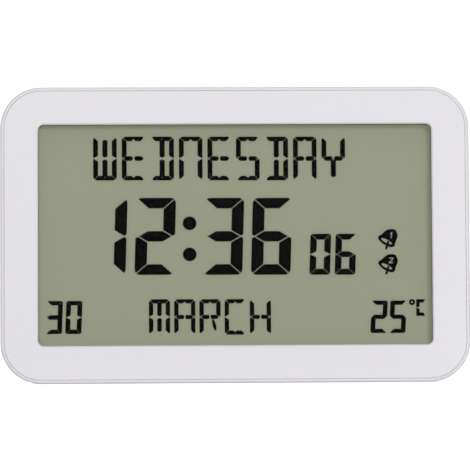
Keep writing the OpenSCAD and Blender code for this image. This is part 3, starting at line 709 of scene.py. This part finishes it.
def mirrored(points, w, h, flipX, flipZ):
    return [((w - x) if flipX else x, (-h - z) if flipZ else z) for x, z in points]


def slanted(points, c):
    # leans about the middle of the character
    return [(x + c["slant"] * (z + c["h"] / 2), z) for x, z in points]


def endSegment(c):
    # top bar, mitred at both ends, its tips cut blunt
    w, h, sv, sh, g = c["w"], c["h"], c["sv"], c["sh"], c["gap"] / 2
    cut = c["blunt"][0]
    bar = clipped(roundCell(w, h, c["r"]), (0, -sh), (w, -sh))
    bar = clipped(bar, (cut, 0), (cut, -h))
    bar = clipped(bar, (w - cut, -h), (w - cut, 0))
    bar = clipped(bar, *shifted((0, 0), (sv, -sh), g))
    return clipped(bar, *shifted((w - sv, -sh), (w, 0), g))


def sideSegment(c):
    # upper left bar, mitred at the top, pointed at the middle
    w, h, sv, sh, g = c["w"], c["h"], c["sv"], c["sh"], c["gap"] / 2
    mid, cut = -h / 2, c["blunt"][1]
    bar = clipped(roundCell(w, h, c["r"]), (sv, -h), (sv, 0))
    bar = clipped(bar, (w, -cut), (0, -cut))
    bar = clipped(bar, *shifted((sv, -sh), (0, 0), g))
    for (x0, up0), (x1, up1) in zip(c["foot"], c["foot"][1:]):
        bar = clipped(bar, (x0, mid + up0), (x1, mid + up1))
    return bar


def middleBar(c):
    # level bar with a point at each end
    w, mid, half = c["w"], -c["h"] / 2, c["sm"] / 2
    tip, shoulder = c["midTip"], c["midShoulder"]
    return [(tip, mid), (shoulder, mid - half), (w - shoulder, mid - half), (w - tip, mid),
            (w - shoulder, mid + half), (shoulder, mid + half)]


def digitPlates(c):
    # the seven bars in the order of digitBars
    w, h = c["w"], c["h"]
    top, side = endSegment(c), sideSegment(c)
    return [top, side, mirrored(side, w, h, True, False), middleBar(c),
            mirrored(side, w, h, False, True), mirrored(side, w, h, True, True),
            mirrored(top, w, h, False, True)]


def notched(points, w, sh, half, deep):
    # small V in the inner edge, where the centre bar's tip comes close
    out = []
    for i, p in enumerate(points):
        q = points[(i + 1) % len(points)]
        out.append(p)
        if abs(p[1] + sh) < weld / mm and abs(q[1] + sh) < weld / mm:
            step = half if q[0] > p[0] else -half
            out += [(w / 2 - step, -sh), (w / 2, -sh + deep), (w / 2 + step, -sh)]
    return out


def letterPlates(c):
    # the bars in the order of letterBars
    w, h, half = c["w"], c["h"], c["sm"] / 2
    mid, centre, cv = -h / 2, w / 2, c["cv"] / 2
    top, side = notched(endSegment(c), w, c["sh"], *c["notch"]), sideSegment(c)
    upper = [(centre, -c["tipTop"]), (centre - cv, -c["shoulderTop"]),
             (centre - cv, mid + c["shoulderMid"]), (centre, mid + c["tipMid"]),
             (centre + cv, mid + c["shoulderMid"]), (centre + cv, -c["shoulderTop"])]
    outerTip, outer, inner, innerTip = c["arm"]
    arm = [(outerTip, mid), (outer, mid - half), (inner, mid - half), (innerTip, mid),
           (inner, mid + half), (outer, mid + half)]
    plates = [top, side, mirrored(side, w, h, True, False), arm,
              mirrored(arm, w, h, True, False), mirrored(side, w, h, False, True),
              mirrored(side, w, h, True, True), mirrored(top, w, h, False, True), upper,
              mirrored(upper, w, h, False, True)]
    return plates + [[(x, -z) for x, z in leg] for leg in c["legs"]]


# lit bars: 0 top, 1 2 upper sides, 3 middle, 4 5 lower sides, 6 bottom
digitBars = {"0": "012456", "1": "25", "2": "02346", "3": "02356", "5": "01356", "6": "013456"}
# lit bars: 0 top, 1 2 upper sides, 3 4 arms, 5 6 lower sides, 7 bottom, 8 9 centre, 10 leg
letterBars = {"W": [1, 2, 5, 6, 7, 8, 9], "E": [0, 1, 3, 4, 5, 7], "D": [0, 2, 6, 7, 8, 9],
              "N": [0, 1, 2, 5, 6], "S": [0, 1, 3, 4, 6, 7], "A": [0, 1, 2, 3, 4, 5, 6],
              "Y": [1, 2, 3, 4, 9], "M": [0, 1, 2, 5, 6, 8, 9], "R": [0, 1, 2, 3, 4, 5, 10],
              "C": [0, 1, 5, 7], "H": [1, 2, 3, 4, 5, 6]}

# rows in millimetres: first, cells and top place them, drop is their fall for each millimetre to
# the right, w and h a character's size, sv, sh, sm and cv the strokes of side, end, middle and
# centre bars, foot a side bar's end at mid height
weekdayRow = {
    "letters": "WEDNESDAY", "first": -57.61, "pitch": 11.62, "top": 100.3, "drop": 0.0034,
    "w": 9.6, "h": 17.85, "sv": 2.0, "sh": 1.87, "sm": 1.9, "cv": 2.1, "gap": 0.1,
    "r": 1.5, "blunt": (0.85, 0.6), "slant": 0.0, "foot": [(0, 0.25), (0.5, 0.25), (2.0, 1.2)],
    "arm": (0.65, 1.6, 4.05, 4.62), "tipTop": 1.24, "shoulderTop": 1.75, "tipMid": 0.3,
    "shoulderMid": 0.9, "notch": (0.75, 0.85), "legs": []}
monthRow = {
    "letters": "MARCH", "first": -35.2, "pitch": 10.24, "top": 34.04, "drop": 0.003,
    "w": 8.6, "h": 14.4, "sv": 1.8, "sh": 1.72, "sm": 1.7, "cv": 1.85, "gap": 0.1,
    "r": 1.35, "blunt": (0.78, 0.68), "slant": 0.0,
    "foot": [(0, 0.22), (0.45, 0.22), (1.8, 1.05)], "arm": (0.65, 1.5, 3.8, 4.15),
    "tipTop": 1.16, "shoulderTop": 1.6, "tipMid": 0.3, "shoulderMid": 0.8, "notch": (0.65, 0.75),
    "legs": [[(5.1, 8.3), (5.85, 8.2), (6.5, 9.7), (6.87, 11.2), (6.85, 12.6), (6.1, 12.62),
              (5.42, 10.95), (5.08, 9.2)]]}
timeRow = {
    "cells": [("1", -60.21), ("2", -40.54), ("3", -12.81), ("6", 6.78)],
    "top": 75.32, "drop": 0.0034, "w": 16.1, "h": 31.3, "sv": 4.93, "sh": 4.28, "sm": 4.22,
    "gap": 0.29, "r": 2.3, "blunt": (0.85, 0.9), "slant": 0.031, "midTip": 1.45,
    "midShoulder": 5.0, "foot": [(0, 0.9), (0.95, 0.15), (4.93, 2.55)]}
secondsRow = {
    "cells": [("0", 30.33), ("6", 40.62)],
    "top": 60.36, "drop": 0.0034, "w": 8.45, "h": 16.65, "sv": 2.68, "sh": 2.4, "sm": 2.35,
    "gap": 0.11, "r": 0.9, "blunt": (0.55, 0.45), "slant": 0.036, "midTip": 0.62,
    "midShoulder": 2.78, "foot": [(0, 0.3), (0.4, 0.1), (2.68, 1.22)]}
dateRow = {
    "cells": [("3", -76.72), ("0", -68.87)],
    "top": 33.56, "drop": 0.0034, "w": 6.56, "h": 13.4, "sv": 2.0, "sh": 1.8, "sm": 1.84,
    "gap": 0.03, "r": 0.55, "blunt": (0.5, 0.3), "slant": 0.038, "midTip": 0.3,
    "midShoulder": 1.3, "foot": [(0, 0.3), (0.3, 0.02), (2.0, 0.85)]}
temperatureRow = {
    "cells": [("2", 55.02), ("5", 62.68)],
    "top": 33.08, "drop": 0.0034, "w": 6.62, "h": 13.2, "sv": 1.94, "sh": 1.75, "sm": 1.74,
    "gap": 0.02, "r": 0.8, "blunt": (0.45, 0.3), "slant": 0.046, "midTip": 0.45,
    "midShoulder": 1.35, "foot": [(0, 0.45), (0.48, 0.02), (1.94, 0.79)]}


def showRow(name, row, plates, placed):
    # placed are (cell's left edge in millimetres, bars that are lit)
    meshes = [prismMesh("%sPlate%d" % (name, i), slanted(p, row), liquid["front"], liquid["back"])
              for i, p in enumerate(plates)]
    spots = []
    for left, bars in placed:
        z = row["top"] - row["drop"] * (left - placed[0][0])
        spots += [(left * mm, 0.0, z * mm, int(bar)) for bar in bars]
    obj = copiesAt(name, meshes, spots, materials["ink"])
    obj.visible_shadow = False
    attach(obj, "case")


for name, row in (("weekdayLetters", weekdayRow), ("monthLetters", monthRow)):
    showRow(name, row, letterPlates(row),
            [(row["first"] + row["pitch"] * i, letterBars[ch])
             for i, ch in enumerate(row["letters"])])
for name, row in (("timeDigits", timeRow), ("secondsDigits", secondsRow),
                  ("dateDigits", dateRow), ("temperatureDigits", temperatureRow)):
    showRow(name, row, digitPlates(row), [(left, digitBars[ch]) for ch, left in row["cells"]])
print("characters shown")


def smoothLoop(points, steps=5):
    # closed curve through all the points
    out = []
    n = len(points)
    for i in range(n):
        p0, p1, p2, p3 = (points[(i + k) % n] for k in (-1, 0, 1, 2))
        for s in range(steps):
            t = s / steps
            out.append(tuple(0.5 * (2 * p1[k] + (p2[k] - p0[k]) * t
                                    + (2 * p0[k] - 5 * p1[k] + 4 * p2[k] - p3[k]) * t * t
                                    + (3 * p1[k] - p0[k] - 3 * p2[k] + p3[k]) * t ** 3)
                             for k in (0, 1)))
    return out


def showPlate(name, meshes):
    # one lit piece of the display from several plates
    obj = addObject(name, joinMeshes(name, meshes))
    obj.data.materials.append(materials["ink"])
    obj.visible_shadow = False
    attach(obj, "case")


colon = {"x": -18.53, "high": 64.86, "low": 52.21, "r": 2.79}
showPlate("timeColon", [plateWithHoles("colonDot", [circle(colon["x"], z, colon["r"])],
                                       liquid["front"], liquid["back"])
                        for z in (colon["high"], colon["low"])])

# ring by its middle and radii; small C by its top left corner, waist is its gap at mid height
degreeSign = {"x": 71.78, "z": 32.39, "outer": 1.24, "inner": 0.4,
              "left": 73.48, "top": 33.56, "w": 3.7, "h": 6.78, "stroke": 1.38, "r": 0.35,
              "waist": (0.06, 0.35), "endCut": 0.6}


def smallC(d):
    # upper half and its mirror image
    x, z, w, h, s, r = d["left"], d["top"], d["w"], d["h"], d["stroke"], d["r"]
    outerWaist, innerWaist = d["waist"]
    corner = 0.3 * r  # the outer corner is rounded by one point near its arc's middle
    half = [(x, z - h / 2 + outerWaist), (x, z - r), (x + corner, z - corner), (x + r, z),
            (x + w, z), (x + w - s * d["endCut"], z - s), (x + s, z - s),
            (x + s, z - h / 2 + innerWaist)]
    return [half, [(px, 2 * z - h - pz) for px, pz in half]]


showPlate("degreeC", [plateWithHoles("degreeRing", [
    circle(degreeSign["x"], degreeSign["z"], degreeSign["outer"]),
    circle(degreeSign["x"], degreeSign["z"], degreeSign["inner"], 24)],
    liquid["front"], liquid["back"])]
    + [prismMesh("smallCHalf", loop, liquid["front"], liquid["back"])
       for loop in smallC(degreeSign)])

# alarm bells with their numbers, each drawn from the top left of its box, down positive
bell = {
    "spots": [(58.23, 62.21, "1"), (58.22, 51.97, "2")],
    "outline": [(-0.05, 3.55), (0.15, 2.9), (0.6, 2.6), (1.25, 2.3), (1.95, 1.6), (2.8, 0.85),
                (3.8, 0.3), (4.95, 0.05), (6.0, 0.02), (6.6, 0.25), (7.15, 0.35), (7.35, 0.95),
                (7.75, 1.7), (7.9, 2.7), (7.7, 3.85), (7.25, 4.85), (6.98, 5.7), (6.85, 6.4),
                (6.3, 7.2), (5.2, 7.42), (4.0, 7.08), (2.8, 6.55), (1.9, 6.05), (0.75, 4.95),
                (0.15, 4.2)],
    "mouth": {"x": 3.42, "z": 4.98, "a": 2.38, "b": 0.66, "turn": 27},
    "clapper": {"from": (4.2, 4.85), "to": (3.25, 7.85), "half": 0.48, "proud": 0.01},
    "1": [(5.45, 1.3), (5.8, 1.3), (5.46, 3.8), (5.12, 3.8), (5.36, 1.98), (4.92, 2.28),
          (4.82, 2.0)],
    "2": [(4.36, 1.8), (4.66, 1.46), (5.2, 1.3), (5.8, 1.36), (6.12, 1.66), (6.06, 2.1),
          (5.66, 2.52), (4.85, 3.34), (6.0, 3.4), (5.96, 3.75), (4.1, 3.68), (4.16, 3.38),
          (5.46, 2.24), (5.76, 1.88), (5.6, 1.66), (5.2, 1.6), (4.64, 1.96)],
}


def bellMouth(m):
    # ellipse with half axes a and b, turned
    turn = math.radians(m["turn"])
    return [(m["x"] + m["a"] * u * math.cos(turn) - m["b"] * v * math.sin(turn),
             m["z"] + m["a"] * u * math.sin(turn) + m["b"] * v * math.cos(turn))
            for u, v in circle(0, 0, 1)]


def bellClapper(c):
    # rod with a round end, from inside the mouth
    (x0, z0), (x1, z1) = c["from"], c["to"]
    along = math.atan2(z1 - z0, x1 - x0)

    def off(x, z, turn):
        return x + c["half"] * math.cos(along + turn), z + c["half"] * math.sin(along + turn)
    return ([off(x0, z0, a) for a in arc(90, -90, 1)]
            + [off(x1, z1, a) for a in arc(-90, 90, 8)])


def bellMeshes(b, left, top, digit):
    def at(points):
        return [(left + x, top - z) for x, z in points]
    front, back, proud = liquid["front"], liquid["back"], b["clapper"]["proud"]
    body = [at(smoothLoop(b["outline"])), at(bellMouth(b["mouth"])), at(b[digit])]
    return [plateWithHoles("bellBody", body, front, back),
            plateWithHoles("bellClapper", [at(bellClapper(b["clapper"]))],
                           front - proud, back + proud)]


showPlate("alarmBells", [mesh for left, top, digit in bell["spots"]
                         for mesh in bellMeshes(bell, left, top, digit)])
print("signs shown")


def seenDirectly(tree):
    # 1 where the camera sees a thing straight, mirrored or through glass, and 0 once the
    # light has scattered
    add, link = tree.nodes.new, tree.links.new
    path = add("ShaderNodeLightPath")
    total = path.outputs["Is Camera Ray"]
    for name in ("Is Glossy Ray", "Is Transmission Ray"):
        most = add("ShaderNodeMath")
        most.operation = "MAXIMUM"
        link(total, most.inputs[0])
        link(path.outputs[name], most.inputs[1])
        total = most.outputs[0]
    first, both = add("ShaderNodeMath"), add("ShaderNodeMath")
    first.operation, both.operation = "LESS_THAN", "MULTIPLY"
    first.inputs[1].default_value = 0.5  # no diffuse bounce yet
    link(path.outputs["Diffuse Depth"], first.inputs[0])
    link(total, both.inputs[0])
    link(first.outputs[0], both.inputs[1])
    return both.outputs[0]


# pale floor that curves up into the backdrop, in metres; floorBounce is the floor's colour for
# the light that it throws back at the clock
studio = {"floorHalf": 3.0, "backdropAt": 2.2, "backdropHeight": 3.0, "bend": 0.5,
          "floorGlow": 0.78, "floorColour": (0.86, 0.86, 0.86, 1),
          "floorBounce": (0.4, 0.4, 0.4, 1), "floorRough": 0.9, "floorShine": 0.1,
          "ambient": 0.15}


def stageMaterial():
    mat = bpy.data.materials.new("paleSweep")
    mat.use_nodes = True
    tree = mat.node_tree
    add, link = tree.nodes.new, tree.links.new
    shader = tree.nodes["Principled BSDF"]
    shader.inputs["Roughness"].default_value = studio["floorRough"]
    shader.inputs["Specular IOR Level"].default_value = studio["floorShine"]
    direct = seenDirectly(tree)
    paint = add("ShaderNodeMix")
    paint.data_type = "RGBA"
    paint.inputs["A"].default_value = studio["floorBounce"]
    paint.inputs["B"].default_value = studio["floorColour"]
    link(direct, paint.inputs["Factor"])
    link(paint.outputs["Result"], shader.inputs["Base Color"])
    glow, total = add("ShaderNodeEmission"), add("ShaderNodeAddShader")
    level = add("ShaderNodeMath")
    level.operation = "MULTIPLY"
    level.inputs[1].default_value = studio["floorGlow"]
    link(direct, level.inputs[0])
    link(level.outputs[0], glow.inputs["Strength"])
    link(shader.outputs["BSDF"], total.inputs[0])
    link(glow.outputs["Emission"], total.inputs[1])
    link(total.outputs["Shader"], tree.nodes["Material Output"].inputs["Surface"])
    return mat


def sweepMesh(s):
    half, back, high, r = s["floorHalf"], s["backdropAt"], s["backdropHeight"], s["bend"]
    line = [(-half, 0.0)] + [(back - r + r * math.sin(a), r - r * math.cos(a))
                             for a in arc(0, 90, 12)] + [(back, high)]
    verts = [(x, y, z) for y, z in line for x in (-half, half)]
    faces = [(2 * i, 2 * i + 1, 2 * i + 3, 2 * i + 2) for i in range(len(line) - 1)]
    mesh = bpy.data.meshes.new("sweep")
    mesh.from_pydata(verts, [], faces)
    mesh.shade_smooth()
    return mesh


sweep = addObject("sweep", sweepMesh(studio))
sweep.data.materials.append(stageMaterial())
sweep.visible_shadow = False  # part of the front lamp lies lower than the floor


def studioWorld(s):
    # white where it is seen, dim where it lights
    world = bpy.data.worlds.new("studio")
    world.use_nodes = True
    tree = world.node_tree
    add, link = tree.nodes.new, tree.links.new
    dim, white = tree.nodes["Background"], add("ShaderNodeBackground")
    for shader in (dim, white):
        shader.inputs["Color"].default_value = (1, 1, 1, 1)
    dim.inputs["Strength"].default_value = s["ambient"]
    mix = add("ShaderNodeMixShader")
    link(seenDirectly(tree), mix.inputs["Fac"])
    link(dim.outputs[0], mix.inputs[1])
    link(white.outputs[0], mix.inputs[2])
    link(mix.outputs[0], tree.nodes["World Output"].inputs["Surface"])
    return world


bpy.context.scene.world = studioWorld(studio)

# lamps in degrees right of the front and up, seen from the clock's middle, and in metres and watts
aim = (Vector(cadBox[0]) + Vector(cadBox[1])) / 2
lamps = {
    "keyLamp": {"right": 15, "up": 11.5, "distance": 3.6, "size": (1.12, 0.74), "power": 32},
    "frontLamp": {"right": -2, "up": -1.5, "distance": 2.8, "size": (0.4, 0.4), "power": 35},
    "topLamp": {"right": -6, "up": 55, "distance": 2.0, "size": (1.2, 1.2), "power": 2},
    "backLamp": {"right": 158, "up": 38, "distance": 1.6, "size": (1.1, 1.1), "power": 16},
}
for lampName, lamp in lamps.items():
    data = bpy.data.lights.new(lampName, "AREA")
    data.shape, data.energy = "ELLIPSE", lamp["power"]
    data.size, data.size_y = lamp["size"]
    obj = bpy.data.objects.new(lampName, data)
    bpy.context.scene.collection.objects.link(obj)
    right, up = math.radians(lamp["right"]), math.radians(lamp["up"])
    toLamp = Vector((math.sin(right) * math.cos(up), -math.cos(right) * math.cos(up),
                     math.sin(up)))
    obj.location = aim + toLamp * lamp["distance"]
    obj.rotation_mode = "QUATERNION"
    obj.rotation_quaternion = toLamp.to_track_quat("Z", "Y")
    obj.visible_glossy = lampName != "frontLamp"  # else it lies as glare across the lens


# camera low in front of the clock, tipped up a little; metres and radians, lens in millimetres
shot = {"place": (-0.02749, -1.01096, 0.01177), "yaw": -0.02753, "pitch": 0.04825,
        "roll": 0.00562, "sensor": 36, "lens": 189.36, "shift": (-0.0012, -0.0012),
        "sees": (0.05, 20)}
cameraData = bpy.data.cameras.new("camera")
cameraData.sensor_width, cameraData.lens = shot["sensor"], shot["lens"]
cameraData.shift_x, cameraData.shift_y = shot["shift"]
cameraData.clip_start, cameraData.clip_end = shot["sees"]
camera = bpy.data.objects.new("camera", cameraData)
bpy.context.scene.collection.objects.link(camera)
turned = (Matrix.Rotation(shot["yaw"], 3, "Z") @ Matrix.Rotation(shot["pitch"], 3, "X")
          @ Matrix.Rotation(shot["roll"], 3, "Y"))
sight = turned @ Matrix.Rotation(math.pi / 2, 3, "X")
camera.matrix_world = Matrix.Translation(shot["place"]) @ sight.to_4x4()
bpy.context.scene.camera = camera
bpy.context.scene.view_settings.view_transform = "Standard"
print("stage and camera set")
